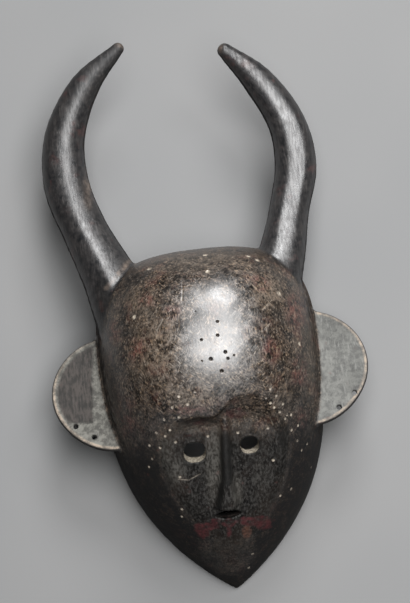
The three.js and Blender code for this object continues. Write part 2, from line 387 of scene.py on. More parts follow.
def ear_place(ear, x, y, z):
    dy, dz = y - ear["y"], z - EAR_Z
    along = dy * math.cos(EAR_TILT) - dz * math.sin(EAR_TILT)
    height = dy * math.sin(EAR_TILT) + dz * math.cos(EAR_TILT)
    dx = x - ear["x"]
    facing = np.cos(np.arctan2(along, dx) - ear["flat_towards"])
    reach = ear["radius"] * (1 - EAR_FLATNESS * np.maximum(facing, 0) ** 4)
    return np.hypot(dx, along) - reach, height


# An ear's front is dished a little inside a narrow rim.
def ear_level(ear, x, y, z):
    beyond, height = ear_place(ear, x, y, z)
    share = np.clip((beyond + ear["radius"]) / ear["radius"], 0, 1)
    half = mix(EAR_ROOT, EAR_EDGE, share) / 2
    dish = EAR_DISH * smooth(-beyond, EAR_RIM - EAR_RIM_SLOPE, EAR_RIM + EAR_RIM_SLOPE)
    return soft_max(np.maximum(height - half + dish, -height - half), beyond, EAR_EDGE_SOFT)


# A horn as a chain of short tapered lengths.
def horn_chain(stations):
    taper = [(i * STATION_SPACING, s[3], 0) for i, s in enumerate(stations)]
    centres = smooth_curve([s[:3] for s in stations], closed=False, steps=HORN_STEPS)
    return centres, smooth_curve(taper, closed=False, steps=HORN_STEPS)[:, 1]


HORNS = [horn_chain(LEFT_HORN), horn_chain(RIGHT_HORN)]


# Distance from a horn, no farther back than its reach, and how far along it the nearest place is,
# from 0 at the root to 1.
def horn_level(horn, x, y, z):
    centres, radii = horn
    near = (y > centres[0][1] - HORN_REACH) & (x * centres[0][0] > 0)
    p = np.stack([x[near], y[near], z[near]], 1)
    best = np.full(len(p), FAR)
    place = np.zeros(len(p))
    for i in range(len(centres) - 1):
        edge = centres[i + 1] - centres[i]
        share = np.clip((p - centres[i]) @ edge / (edge @ edge), 0, 1)
        away = np.linalg.norm(p - centres[i] - share[:, None] * edge, axis=1)
        found = away - mix(radii[i], radii[i + 1], share)
        place = np.where(found < best, (i + share) / (len(centres) - 1), place)
        best = np.minimum(best, found)
    level = np.full(len(x), FAR)
    along = np.zeros(len(x))
    level[near] = best
    along[near] = place
    return level, along


# The whole carving: below zero in the wood.
def carving(points):
    x, y, z = points.T
    across, up, out = face_place(x, y, z)
    level = arch_distance(HEAD, x, y, z)
    level = soft_max(level, -scoop_level(across, up, out), SCOOP_SOFT)
    level = soft_min(level, nose_level(across, up, out), NOSE_SOFT)
    for ear in EARS:
        level = soft_min(level, ear_level(ear, x, y, z), EAR_SOFT)
    for horn in HORNS:
        level = soft_min(level, horn_level(horn, x, y, z)[0], HORN_SOFT)
    level = soft_max(level, -z, RIM_SOFT)
    level = soft_max(level, -arch_distance(HOLLOW, x, y, z), RIM_SOFT)
    for hole in EYES + [MOUTH]:
        level = soft_max(level, -hole_level(hole, across, up, out), HOLE_SOFT)
    for hole_x, hole_y in EAR_HOLES:
        away = np.hypot(np.abs(x) - hole_x, y - hole_y)
        level = soft_max(level, EAR_HOLE_RADIUS - away, EAR_HOLE_SOFT)
    return level


def slope_of(points):
    step = 0.3
    slope = np.zeros((len(points), 3))
    for axis in range(3):
        shift = np.zeros(3)
        shift[axis] = step
        slope[:, axis] = (carving(points + shift) - carving(points - shift)) / (2 * step)
    return slope


# Moves points onto the surface, in short steps.
def settle(points, rounds):
    longest = 2
    flattest = 0.05
    for _ in range(rounds):
        slope = slope_of(points)
        move = carving(points) / np.maximum((slope ** 2).sum(1), flattest)
        points = points - np.clip(move, -longest, longest)[:, None] * slope
    return points


# The field on a grid, worked out a layer at a time.
def field_on_grid(low, counts):
    level = np.empty(counts)
    y = low[1] + CELL * np.arange(counts[1])
    z = low[2] + CELL * np.arange(counts[2])
    for i in range(counts[0]):
        gy, gz = np.meshgrid(y, z, indexing="ij")
        gx = np.full(gy.shape, low[0] + CELL * i)
        level[i] = carving(np.stack([gx.ravel(), gy.ravel(), gz.ravel()], 1)).reshape(gy.shape)
    return level


# One point in each cell that the surface crosses, and two triangles for each crossed grid edge.
def surface_net(level, low):
    solid = level < 0
    cells = tuple(n - 1 for n in level.shape)
    corners = list(itertools.product((0, 1), repeat=3))

    def at(grid, corner):
        i, j, k = corner
        return grid[i:i + cells[0], j:j + cells[1], k:k + cells[2]]

    filled = sum(at(solid, c).astype(np.int8) for c in corners)
    active = (filled > 0) & (filled < 8)
    number = np.full(cells, -1)
    number[active] = np.arange(active.sum())
    total = np.zeros((active.sum(), 3))
    crossings = np.zeros(active.sum())
    for axis in range(3):
        for corner in corners:
            if corner[axis]:
                continue
            other = tuple(1 if n == axis else c for n, c in enumerate(corner))
            a = at(level, corner)[active]
            b = at(level, other)[active]
            crossed = (a < 0) != (b < 0)
            share = np.where(crossed, a / np.where(crossed, a - b, 1), 0)
            place = np.tile(np.array(corner, float), (len(a), 1))
            place[:, axis] = share
            total += place * crossed[:, None]
            crossings += crossed
    points = low + CELL * (np.argwhere(active) + total / crossings[:, None])
    triangles = []
    for axis in range(3):
        u, v = (axis + 1) % 3, (axis + 2) % 3
        where = np.argwhere(solid != np.roll(solid, -1, axis=axis))
        where = where[(where[:, axis] < cells[axis]) & (where[:, u] > 0) & (where[:, v] > 0)]
        starts = solid[tuple(where.T)]
        ring = []
        for du, dv in ((1, 1), (0, 1), (0, 0), (1, 0)):
            cell = where.copy()
            cell[:, u] -= du
            cell[:, v] -= dv
            ring.append(number[tuple(cell.T)])
        quads = np.stack(ring, 1)
        quads[~starts] = quads[~starts][:, ::-1]
        one = np.linalg.norm(points[quads[:, 0]] - points[quads[:, 2]], axis=1)
        two = np.linalg.norm(points[quads[:, 1]] - points[quads[:, 3]], axis=1)
        quads = np.where((one < two)[:, None], quads, np.roll(quads, 1, axis=1))
        triangles += [quads[:, [0, 1, 2]], quads[:, [0, 2, 3]]]
    return points, np.concatenate(triangles)


def edges_of(triangles):
    return np.concatenate([triangles[:, [0, 1]], triangles[:, [1, 2]], triangles[:, [2, 0]]])


# Splits each edge that is longer than wanted in its place, and keeps the mesh closed.
def split_long_edges(points, triangles, wanted_at):
    unique, back = np.unique(np.sort(edges_of(triangles), axis=1), axis=0, return_inverse=True)
    middles = points[unique].mean(1)
    lengths = np.linalg.norm(points[unique[:, 0]] - points[unique[:, 1]], axis=1)
    long = lengths > wanted_at(middles)
    number = np.where(long, len(points) + np.cumsum(long) - 1, -1)
    mids = number[back.ravel()].reshape(3, -1).T
    count = (mids >= 0).sum(1)
    made = [triangles[count == 0]]
    for turn in range(3):
        t = np.roll(triangles, -turn, axis=1)
        m = np.roll(mids, -turn, axis=1)
        a, b, c = t.T
        ab, bc, ca = m.T
        one = (count == 1) & (ab >= 0)
        made += [np.stack([a, ab, c], 1)[one], np.stack([ab, b, c], 1)[one]]
        two = (count == 2) & (ca < 0)
        made += [np.stack(s, 1)[two] for s in ((ab, b, bc), (a, ab, bc), (a, bc, c))]
        if turn == 0:
            three = count == 3
            made += [np.stack(s, 1)[three] for s in ((a, ab, ca), (ab, b, bc), (ca, bc, c), (ab, bc, ca))]
    return np.concatenate([points, middles[long]]), np.concatenate(made)


# Draws points towards the middle of their neighbours, which evens out the triangles.
def even_out(points, triangles, share):
    edges = edges_of(triangles)
    both = np.concatenate([edges, edges[:, ::-1]])
    count = np.bincount(both[:, 0], minlength=len(points))
    mean = np.stack([np.bincount(both[:, 0], points[both[:, 1], n], len(points)) for n in range(3)], 1)
    return mix(points, mean / count[:, None], share)


# The camera looks down on the lying mask from the chin's side, with the mask leaning a little.
CAMERA_TARGET = np.array([3.0, 284.0, 60.0])
CAMERA_TILT = math.radians(15)
CAMERA_ROLL = math.radians(7)
CAMERA_DISTANCE = 1700
CAMERA_FAR = 50000
IMAGE_SIZE = (410, 603)
SENSOR = 36

# A ray starts this far in front of the target, and its steps are a share of the distance left.
RAY_START = 250
RAY_STEPS = 80
RAY_LONGEST = 20
RAY_SHARE = 0.6

back_axis = np.array([0, -math.sin(CAMERA_TILT), math.cos(CAMERA_TILT)])
level_right = np.array([1.0, 0, 0])
level_up = np.cross(back_axis, level_right)
right_axis = math.cos(CAMERA_ROLL) * level_right - math.sin(CAMERA_ROLL) * level_up
up_axis = math.sin(CAMERA_ROLL) * level_right + math.cos(CAMERA_ROLL) * level_up
camera_place = CAMERA_TARGET + back_axis * CAMERA_DISTANCE


# Where points show in the photograph.
def to_pixels(points):
    away = points - camera_place
    depth = -(away @ back_axis)
    u = IMAGE_SIZE[0] / 2 + CAMERA_DISTANCE * (away @ right_axis) / depth
    v = IMAGE_SIZE[1] / 2 - CAMERA_DISTANCE * (away @ up_axis) / depth
    return u, v


# Where the rays through pixels of the photograph meet the carving.
def from_pixels(pixels):
    pixels = np.array(pixels, float)
    aside = (pixels[:, 0] - IMAGE_SIZE[0] / 2) / CAMERA_DISTANCE
    above = (IMAGE_SIZE[1] / 2 - pixels[:, 1]) / CAMERA_DISTANCE
    rays = aside[:, None] * right_axis + above[:, None] * up_axis - back_axis
    rays /= np.linalg.norm(rays, axis=1)[:, None]
    points = camera_place + rays * (CAMERA_DISTANCE - RAY_START)
    for _ in range(RAY_STEPS):
        gap = np.clip(carving(points), -RAY_LONGEST, RAY_LONGEST)
        points = points + rays * gap[:, None] * RAY_SHARE
    return points


# Worm holes in the forehead and the chin, pale spots, and the rows of pale dots punched round the face.
WORM_HOLES = from_pixels([
    (217.3, 321.2), (217.6, 335), (201, 339.5), (194.9, 311.3), (225.4, 351.9), (228.1, 358.5),
    (210.7, 359), (234.2, 355.2), (221.8, 371.3), (201.9, 361), (252.5, 551.6), (248.5, 565.4),
])
WORM_HOLE_SIZES = [1.0, 1.1, 0.9, 0.5, 1.2, 1.0, 1.3, 0.6, 1.2, 0.6, 0.7, 0.7]
PALE_SPOTS = from_pixels([
    (207.7, 271.5), (149.3, 268.5), (205.2, 254.9), (248.3, 256), (257.4, 259.9), (279, 293),
    (299.7, 343.6), (133.9, 317),
])
PUNCHED_DOTS = from_pixels([
    (276.3, 396), (270.6, 403.1), (274.3, 407.4), (283, 404), (280, 412), (287.3, 414.8),
    (291.3, 414.8), (285.3, 418.8), (298.2, 425.5), (291.7, 430.2), (267.9, 428.2), (297.4, 440.9),
    (302, 450.3), (307.4, 443.6), (273.3, 460.3), (291.3, 489.1), (280.6, 495.8),
    (172.2, 407.4), (179, 417.2), (164, 419.5), (156.3, 433), (165.2, 436.4), (170.1, 430.2),
    (175.5, 442.2), (149.5, 445.6), (160, 447.9), (152, 458.9), (149, 467), (180, 477.3),
    (181.9, 509.4), (181.9, 516.7), (207.9, 436.3), (237.8, 432.6), (178.9, 396.4), (195.3, 391.7),
    (187.6, 404.4), (265.6, 398), (270.2, 388.9), (311.3, 467.4), (252.7, 554), (249, 567.8),
])
SCRATCH_PIXELS = [
    [(262, 405), (268, 413), (273, 425)], [(177, 479), (189, 480), (200, 474)],
    [(157, 330), (160, 325), (163, 319)], [(262, 331), (266, 327), (271, 323)],
    [(182, 300), (182.5, 290), (182, 281)], [(262, 310), (267, 305), (272, 300)],
]
SCRATCHES = [from_pixels(line) for line in SCRATCH_PIXELS]

# How far the finest mesh reaches round each kind of pit.
PIT_REACHES = [(WORM_HOLES, 3.5), (PUNCHED_DOTS, 2.6), (PALE_SPOTS, 4)]


# The distance to the nearest of some places, in units of their sizes.
def nearest(points, centres, sizes=itertools.repeat(1)):
    best = np.full(len(points), np.inf)
    for centre, size in zip(centres, sizes):
        best = np.minimum(best, np.linalg.norm(points - centre, axis=1) / size)
    return best


def nearest_on_lines(points, lines):
    best = np.full(len(points), np.inf)
    for line in lines:
        for a, b in zip(line, line[1:]):
            edge = b - a
            share = np.clip((points - a) @ edge / (edge @ edge), 0, 1)
            best = np.minimum(best, np.linalg.norm(points - a - share[:, None] * edge, axis=1))
    return best


def wanted_edge(points):
    x, y, z = points.T
    across, up, out = face_place(x, y, z)
    in_hollow = arch_distance(HOLLOW, x, y, z) < HOLLOW_REACH
    to_head = arch_distance(HEAD, x, y, z)
    wanted = np.where(in_hollow | (z < PLAIN_BELOW_Z), EDGE_PLAIN, EDGE_OUTSIDE)
    for ear, horn in zip(EARS, HORNS):
        to_horn, _ = horn_level(horn, x, y, z)
        at_seam = (np.abs(to_horn) < SEAM_REACH) & (np.abs(to_head) < SEAM_REACH) & (z > SEAM_ABOVE_Z)
        wanted = np.where(at_seam, EDGE_SEAM, wanted)
        beyond, height = ear_place(ear, x, y, z)
        on_front = (beyond > -ear["radius"]) & (beyond < EAR_REACH) & (height > 0) & (height < EAR_ROOT)
        on_front &= (to_head > -SEAM_REACH) & (to_horn > SEAM_REACH)
        wanted = np.where(on_front, EDGE_EAR, wanted)
        wanted = np.where(on_front & (beyond > -EAR_RIM_REACH), EDGE_EAR_RIM, wanted)
    on_face = (look_up(WALL_TABLE, across, up) < FACE_REACH) & (out > -FACE_REACH) & ~in_hollow
    wanted = np.where(on_face, EDGE_FACE, wanted)
    to_hole = np.full(len(points), FAR)
    for hole in EYES + [MOUTH]:
        to_hole = np.minimum(to_hole, np.abs(hole_level(hole, across, up, out)))
    at_hole = (to_hole < HOLE_REACH_ROUND) & (out > HOLE_REACH_IN) & (out < HOLE_REACH_OUT)
    wanted = np.where(at_hole, EDGE_HOLE, wanted)
    fine = nearest_on_lines(points, SCRATCHES) < SCRATCH_REACH
    for centres, reach in PIT_REACHES:
        fine |= nearest(points, centres) < reach
    return np.where(fine, EDGE_DETAIL, wanted)


counts = tuple(int(length / CELL) + 1 for length in GRID_SIZE)
points, triangles = surface_net(field_on_grid(GRID_LOW, counts), GRID_LOW)
for _ in range(2):
    points = settle(even_out(points, triangles, share=0.5), rounds=1)
for _ in range(4):
    points, triangles = split_long_edges(points, triangles, wanted_edge)
    points = settle(points, rounds=1)
points = settle(even_out(points, triangles, share=0.35), rounds=3)

x, y, z = points.T
across, up, out = face_place(x, y, z)
normals = slope_of(points)
normals /= np.linalg.norm(normals, axis=1)[:, None]

# How far each place is from each form, and what it belongs to, from 0 to 1.
head_gap = np.abs(arch_distance(HEAD, x, y, z))
hollow_gap = arch_distance(HOLLOW, x, y, z)
inside = smooth(-hollow_gap, -2.5, -0.5)
left_horn, right_horn = [horn_level(horn, x, y, z) for horn in HORNS]
horn_gap, horn_along = np.where(x < 0, left_horn, right_horn)
on_horn = smooth(head_gap - np.abs(horn_gap), -1.0, 1.5)
left_ear, right_ear = [(ear_level(ear, x, y, z), ear_place(ear, x, y, z)[0]) for ear in EARS]
ear_gap, ear_beyond = np.where(x < 0, left_ear, right_ear)
on_ear = smooth(head_gap - np.abs(ear_gap), -0.5, 3.0) * (1 - on_horn)
wall_gap = look_up(WALL_TABLE, across, up)
on_face = smooth(-wall_gap, -1.5, 2.5) * smooth(out, -8, -3) * (1 - inside)

# Gaps to the holes, pits and scratches.
hole_gap = np.minimum.reduce([hole_level(hole, across, up, out) for hole in EYES])
mouth_gap = hole_level(MOUTH, across, up, out)
worm = nearest(points, WORM_HOLES, WORM_HOLE_SIZES)
spot = nearest(points, PALE_SPOTS)
dot = nearest(points, PUNCHED_DOTS)
scratch = nearest_on_lines(points, SCRATCHES)


# Relief, all of it cut into the wood: first the marks of the tools, drawn out along y.
def marks(depth, size, seed, where=1, along=1):
    return depth * where * (0.5 + 0.5 * noise(points * np.array([1.0, along, 1.0]), size, seed))


relief = marks(depth=0.25, size=17.0, seed=3) + marks(depth=0.2, size=8.0, seed=5)
relief += marks(depth=1.4, size=13.0, seed=9, where=inside, along=0.6)
relief += marks(depth=0.3, size=8.0, seed=11, where=on_horn, along=0.2)

# The left horn slopes off to its inner side above the root, and the right one's top is half as round
# as the rest of it.
LEFT_HORN_SLOPE = 0.2
LEFT_SLOPE_START = -5
RIGHT_FLAT_MIDDLE = 1
RIGHT_FLAT_HALF_WIDTH = 9.0
RIGHT_HORN_RADIUS = 21
middles = [np.interp(y, centres[:, 1], centres[:, 0]) for centres, _ in HORNS]
from_middle = x - np.where(x < 0, *middles)
facing = on_horn * np.maximum(normals[:, 2], 0) ** 2
left_slope = LEFT_HORN_SLOPE * np.maximum(from_middle - LEFT_SLOPE_START, 0) * (x < 0)
left_slope *= fade(horn_along, 0.3, 0.5)
flat_top = np.maximum(RIGHT_FLAT_HALF_WIDTH ** 2 - (from_middle - RIGHT_FLAT_MIDDLE) ** 2, 0)
flat_top = flat_top / (4 * RIGHT_HORN_RADIUS) * (x > 0)
flat_top *= smooth(horn_along, 0.1, 0.25) * fade(horn_along, 0.6, 0.8)
relief += facing * (left_slope + flat_top)

# No marks at the edges of the holes and the rim, then each pit's depth and how wide its slope is.
relief *= smooth(np.minimum(hole_gap, mouth_gap), 0.5, 4.0)
PITS = [(worm, 1.6, 0.5, 1.5), (spot, 0.5, 1.0, 2.8), (dot, 0.5, 0.5, 1.5), (scratch, 0.25, 0.2, 0.8)]
for away, depth, inner, outer in PITS:
    relief += depth * fade(away, inner, outer)
relief *= smooth(z, 0.5, 4.0)
points = points - normals * relief[:, None]

placed = (points + SHIFT) * MM
placed = np.clip(placed, np.array(cad_low), np.array(cad_high))


# Colour regions, each a number from 0 to 1 at every point of the mesh. Their places are read from
# the photograph, in its pixels. A blob is a middle, two radii, how soft its edge is and how strong
# it is. A stroke is its two ends, half its width, and the same two.
RED_BLOBS = [
    ((203, 530), 9, 8, 0.35, 1.0), ((213, 525), 8, 5, 0.35, 1.0), ((228, 523), 9, 4, 0.35, 0.8),
    ((250, 522), 12, 5, 0.35, 1.0), ((264, 525), 8, 5, 0.35, 1.0), ((229, 532), 3, 6, 0.35, 0.7),
]
RED_STROKES = [((206, 522), (266, 519), 3.5, 0.5, 0.75)]
BROW_RED_BLOBS = [((236, 413), 11, 6, 0.35, 1.0), ((200, 422), 13, 3.5, 0.5, 0.7)]
OCHRE_BLOBS = [((247, 532), 5, 8, 0.35, 1.0)]
# Painted shade on the shaded sides of the head and cheeks and in the panel's upper right corner, and
# darker marks on the right ear.
SHADE_AND_GRIME_BLOBS = [
    ((283, 433), 5, 14, 0.35, 0.75), ((153, 476), 6, 14, 0.35, 0.7), ((167, 486), 4, 10, 0.35, 0.5),
    ((112, 400), 6, 30, 0.35, 0.5), ((104, 300), 9, 28, 0.6, 0.5), ((127, 294), 11, 20, 0.8, 0.35),
    ((292, 396), 9, 16, 0.8, 0.45), ((140, 424), 12, 10, 0.8, 0.3), ((337, 330), 18, 18, 0.8, 0.22),
    ((353, 378), 8, 14, 0.8, 0.22),
]
# Painted shade under the brows and beside the nose's foot, a darker strip down the nose, and the edges of
# the left ear's patch.
SHADE_AND_GRIME_STROKES = [
    ((225, 437), (227, 481), 4.6, 0.4, 0.95), ((222, 484), (219, 507), 2.0, 0.5, 0.8),
    ((163, 420.5), (212, 420), 1.6, 0.5, 0.45), ((212, 420), (222, 405), 2.5, 0.5, 0.25),
    ((68, 422.5), (92, 422.5), 1.0, 0.5, 0.5), ((91.5, 388), (92, 422), 1.0, 0.5, 0.4),
]
# Worn tan and grey on the dome, the horns and the face, with painted light on the face beside the nose.
WEAR_AND_LIGHT_BLOBS = [
    ((160, 352), 20, 34, 0.7, 1.0), ((268, 290), 14, 18, 0.7, 1.0), ((192, 398), 22, 10, 0.7, 0.9),
    ((140, 300), 14, 12, 0.7, 0.7), ((200, 262), 40, 9, 0.7, 0.6), ((284, 400), 12, 16, 0.7, 0.7),
    ((213, 462), 7, 36, 0.5, 0.9), ((237, 492), 5, 16, 0.5, 0.8), ((262, 478), 8, 26, 0.6, 0.2),
    ((190, 428), 24, 5, 0.5, 0.5), ((121, 45), 4, 3, 0.8, 0.8), ((219, 48), 3, 4, 0.8, 0.6),
    ((88, 190), 4, 16, 0.8, 0.5), ((166, 450), 8, 22, 0.7, 0.6), ((176, 471), 9, 12, 0.7, 0.7),
]
# A painted highlight along the nose's left edge, and a lighter streak along the left horn's root.
WEAR_AND_LIGHT_STROKES = [
    ((219.4, 424), (220, 482), 1.6, 0.5, 1.0), ((131, 260), (106, 288), 2.2, 0.5, 0.6),
]
RUST_BLOBS = [
    ((299, 372), 6, 12), ((296, 310), 8, 14), ((261, 283), 7, 7), ((270, 350), 7, 10),
    ((172, 312), 7, 5), ((136, 350), 7, 9), ((114, 332), 5, 9), ((146, 300), 6, 5),
    ((188, 410), 14, 4), ((128, 424), 7, 10), ((300, 420), 6, 8),
]
CHIN_BLOBS = [((227, 551), 22, 19, 0.6, 1.0)]
POLISHED_BLOBS = [((212, 328), 29, 52, 0.5, 0.75)]

# Rows and columns of pixels between which a region begins, and the places where the painted shade
# of the cheeks and low sides ends, in millimetres.
FACE_TOP_PIXEL = (408, 446)
PATCH_RIGHT_PIXEL = (91, 94)
PATCH_BOTTOM_PIXEL = (421, 424)
LEFT_RIM_PIXEL = (355, 395)
DARK_SIDE_Z = 78
DARK_SIDE_Y = 190
DARK_CHEEK_Y = 186
DARK_CHIN_Y = 42

# Only what faces the camera, or nearly so, takes its colours from places in the photograph.
u, v = to_pixels(points)
seen = normals @ back_axis > -0.2
ragged = noise(points, 4.5, 21) * 0.5 + noise(points, 2.2, 23) * 0.35


def blob(middle, radius_x, radius_y, edge=0.8, strength=1.0):
    away = np.hypot((u - middle[0]) / radius_x, (v - middle[1]) / radius_y)
    return strength * fade(away, 1 - edge, 1 + edge) * seen


def stroke(start, end, half_width, edge, strength):
    du, dv = end[0] - start[0], end[1] - start[1]
    share = np.clip(((u - start[0]) * du + (v - start[1]) * dv) / (du * du + dv * dv), 0, 1)
    away = np.hypot(u - start[0] - share * du, v - start[1] - share * dv) / half_width
    return strength * fade(away, 1 - edge, 1 + edge) * seen


def painted(blobs, strokes=()):
    return np.maximum.reduce([blob(*place) for place in blobs] + [stroke(*place) for place in strokes])


# Red pigment round the mouth and between the brows, and an ochre drip under the lip.
red = smooth(painted(RED_BLOBS, RED_STROKES) + ragged * 0.9, 0.35, 1.05)
brow_red = smooth(painted(BROW_RED_BLOBS) + ragged * 0.8, 0.4, 1.2) * 0.65
red = np.maximum(red, brow_red) * (1 - inside)
ochre = smooth(painted(OCHRE_BLOBS) + ragged * 0.8, 0.35, 1.0) * (1 - inside)

# Pale bare wood in the walls of the eye holes.
bare = fade(hole_gap, -0.5, 0.3) * fade(out, -1.6, -0.6) * (1 - inside)

# White in the punched dots, spots and scratches.
white = np.maximum.reduce([
    fade(dot, 0.9, 1.7) * smooth(noise(points, 12.0, 33), -1.2, 0.4),
    fade(spot, 1.4, 2.9),
    0.36 * fade(scratch, 0.2, 0.8) * smooth(ragged, -0.5, 0.1),
])
white *= smooth(noise(points, 1.7, 31), -0.9, 0.1)

# Painted shade in the seams of the horns, over the upper lip, in the worm holes, under the brows, beside
# the nose's foot and on the shaded sides of the head, with a darker strip down the nose and darker marks
# on the ears.
seam = fade(np.abs(head_gap - np.abs(horn_gap)), 0.0, 2.0) * (horn_gap < 3) * (head_gap < 3)
lip_line = fade(np.abs(mouth_gap - 0.4), 0.2, 1.3) * (up >= MOUTH["up"]) * on_face
shade_and_grime = np.maximum.reduce([
    painted(SHADE_AND_GRIME_BLOBS, SHADE_AND_GRIME_STROKES), 0.5 * seam, 0.8 * lip_line, 0.9 * fade(worm, 0.9, 1.6),
])

# Where the patina is worn to tan or grey, where light is painted on the face beside the nose with a
# painted highlight along the nose's left edge, and where it is rusty.
wear_and_light = painted(WEAR_AND_LIGHT_BLOBS, WEAR_AND_LIGHT_STROKES)
wear_and_light = np.clip(wear_and_light + 0.5 * wear_and_light * ragged, 0, 1)
rust = painted(RUST_BLOBS)
rust = np.clip(rust + 0.7 * rust * ragged, 0, 1)

# Near-black low on the cheeks, on the low sides that turn away from the top, and under the chin: painted
# shade, in part near-black patina where hands hold the mask.
chin = painted(CHIN_BLOBS)
off_face = 1 - smooth(-wall_gap, -3, 3) * smooth(out, -8, -3)
low_side = smooth(DARK_SIDE_Z - z, 0, 40) * smooth(DARK_SIDE_Y - y, 0, 60)
low_side *= smooth(0.62 - normals[:, 2], 0.0, 0.35)
cheeks = off_face * smooth(DARK_CHEEK_Y + 4 * ragged - y, 0, 70)
under_chin = 0.9 * smooth(DARK_CHIN_Y - y, 0, 30)
shade_and_patina = np.maximum.reduce([low_side, cheeks, under_chin]) * (1 - inside) * (1 - on_ear) * (1 - 0.7 * chin)

# The brown of the dome runs over the brow, and the grey of the face begins at the eyes.
panel = np.maximum(on_face * smooth(v + 5 * ragged, *FACE_TOP_PIXEL), 0.8 * chin)

# The forehead is polished by touch. Steep sides are dull, and so are the horns towards their tips,
# the left one most.
polished = painted(POLISHED_BLOBS)
left_dull = 0.22 + 0.45 * smooth(horn_along, 0.4, 1.0)
right_dull = 0.45 * smooth(horn_along, 0.6, 1.0)
steep = smooth(0.5 + 0.1 * ragged - normals[:, 2], 0.0, 0.35) * (1 - inside) * (1 - on_ear)
dull = np.maximum(on_horn * np.where(x < 0, left_dull, right_dull), steep)

# The ears: a tan rim inside a black edge of painted shade, and a darker patch on the left one.
ear_right = np.where(x > 0, 1.0, 0.0) * on_ear
ear_rim = on_ear * smooth(ear_beyond, -4.8, -3.2) * fade(ear_beyond, -1.6, -0.9)
ear_rim *= np.where(x < 0, mix(0.3, 1, smooth(v + 10 * ragged, *LEFT_RIM_PIXEL)), 1)
ear_edge_shade = on_ear * smooth(ear_beyond, -1.6, -0.9)
ear_patch = on_ear * (x < 0) * smooth(-ear_beyond, 4.5, 7.5) * seen
ear_patch *= fade(u + ragged * 2, *PATCH_RIGHT_PIXEL)
ear_patch *= fade(v + ragged * 2, *PATCH_BOTTOM_PIXEL)

# The flat rim that the mask lies on is bare wood, like the hollow.
underside = fade(z, 1.0, 5.0)

scene = bpy.context.scene


def add_object(name, data):
    made = bpy.data.objects.new(name, data)
    scene.collection.objects.link(made)
    return made


mesh = bpy.data.meshes.new("mask_carving")
mesh.from_pydata(placed.tolist(), [], triangles.tolist())
mesh.update()
mesh.shade_smooth()
attributes = {
    "face": panel, "horn": on_horn, "dull": dull, "polished": polished, "shade_and_patina": shade_and_patina,
    "ear": on_ear, "ear_right": ear_right, "ear_rim": ear_rim, "ear_edge_shade": ear_edge_shade,
    "ear_patch": ear_patch, "inside": np.maximum(inside, underside), "bare": bare,
    "red": red, "ochre": ochre, "white": white, "shade_and_grime": shade_and_grime, "wear_and_light": wear_and_light, "rust": rust,
}
for name, values in attributes.items():
    layer = mesh.attributes.new(name, "FLOAT", "POINT")
    layer.data.foreach_set("value", np.clip(values, 0, 1).astype(np.float32))
carving_piece = add_object("mask_carving", mesh)


# A small helper for node materials: makes a node, fills its inputs and returns one output.
class Nodes:
    def __init__(self, name):
        self.material = bpy.data.materials.new(name)
        self.material.use_nodes = True
        self.tree = self.material.node_tree
        self.tree.nodes.clear()

    def add(self, kind, inputs=None, output=0, **settings):
        node = self.tree.nodes.new(kind)
        for key, value in settings.items():
            setattr(node, key, value)
        for key, value in (inputs or {}).items():
            if isinstance(value, bpy.types.NodeSocket):
                self.tree.links.new(value, node.inputs[key])
            else:
                node.inputs[key].default_value = value
        return node.outputs[output] if node.outputs else None

    def attribute(self, name):
        return self.add("ShaderNodeAttribute", output="Fac", attribute_name=name)

    def math(self, operation, a, b):
        return self.add("ShaderNodeMath", {0: a, 1: b}, operation=operation)

    def times(self, a, b):
        return self.math("MULTIPLY", a, b)

    def stretch(self, value, low, high, to_low=0.0, to_high=1.0, kind="SMOOTHSTEP"):
        inputs = {"Value": value, "From Min": low, "From Max": high, "To Min": to_low, "To Max": to_high}
        return self.add("ShaderNodeMapRange", inputs, interpolation_type=kind)

    # A noise drawn out along a direction, given in degrees from +Y towards -X.
    def strokes(self, place, angle, scale, length):
        inputs = {"Vector": place, "Rotation": (0, 0, math.radians(angle)), "Scale": (1, length, 1)}
        return self.noise(self.add("ShaderNodeMapping", inputs, vector_type="TEXTURE"), scale)

    def colour_mix(self, share, a, b):
        return self.add("ShaderNodeMix", {0: share, 6: a, 7: b}, 2, data_type="RGBA")

    # Lays a colour over another as far as a pattern goes from low to high, and only in a region.
    def over(self, base, colour, pattern, low, high, at_high=1.0, at_low=0.0, region=None):
        share = self.stretch(pattern, low, high, at_low, at_high)
        if region is not None:
            share = self.times(region, share)
        return self.colour_mix(share, base, colour)

    def number_mix(self, share, a, b):
        return self.add("ShaderNodeMix", {0: share, 2: a, 3: b})

    def noise(self, place, scale, detail=2.0, roughness=0.5):
        inputs = {"Vector": place, "Scale": scale, "Detail": detail, "Roughness": roughness}
        return self.add("ShaderNodeTexNoise", inputs)

    def surface(self, inputs):
        shader = self.add("ShaderNodeBsdfPrincipled", inputs)
        self.add("ShaderNodeOutputMaterial", {"Surface": shader})
        return self.material


# Colours as linear red, green and blue, and opacity.
BLACK = (0, 0, 0, 1)
WHITE = (1, 1, 1, 1)
DOME_DARK = (0.0018, 0.0015, 0.0013, 1)
DOME_BROWN = (0.026, 0.0174, 0.0120, 1)
DOME_BLACK = (0.0037, 0.0032, 0.0029, 1)
DOME_FADED = (0.033, 0.025, 0.0183, 1)
DOME_REDDISH = (0.033, 0.0133, 0.0100, 1)
DOME_WORN = (0.062, 0.047, 0.034, 1)
DOME_RUSTY = (0.054, 0.0141, 0.0100, 1)
DOME_TAN_FLECK = (0.095, 0.067, 0.044, 1)
DOME_BLACK_FLECK = (0.0022, 0.0020, 0.0020, 1)
DOME_PALE_STROKE = (0.116, 0.100, 0.083, 1)
HORN_BLACK = (0.0033, 0.0035, 0.0040, 1)
HORN_BROWN = (0.0133, 0.0120, 0.0116, 1)
HORN_FIBRE = (0.042, 0.038, 0.036, 1)
HORN_WORN = (0.100, 0.076, 0.060, 1)
HORN_REDDISH = (0.042, 0.0166, 0.0141, 1)
FACE_BLACK = (0.0018, 0.0017, 0.0016, 1)
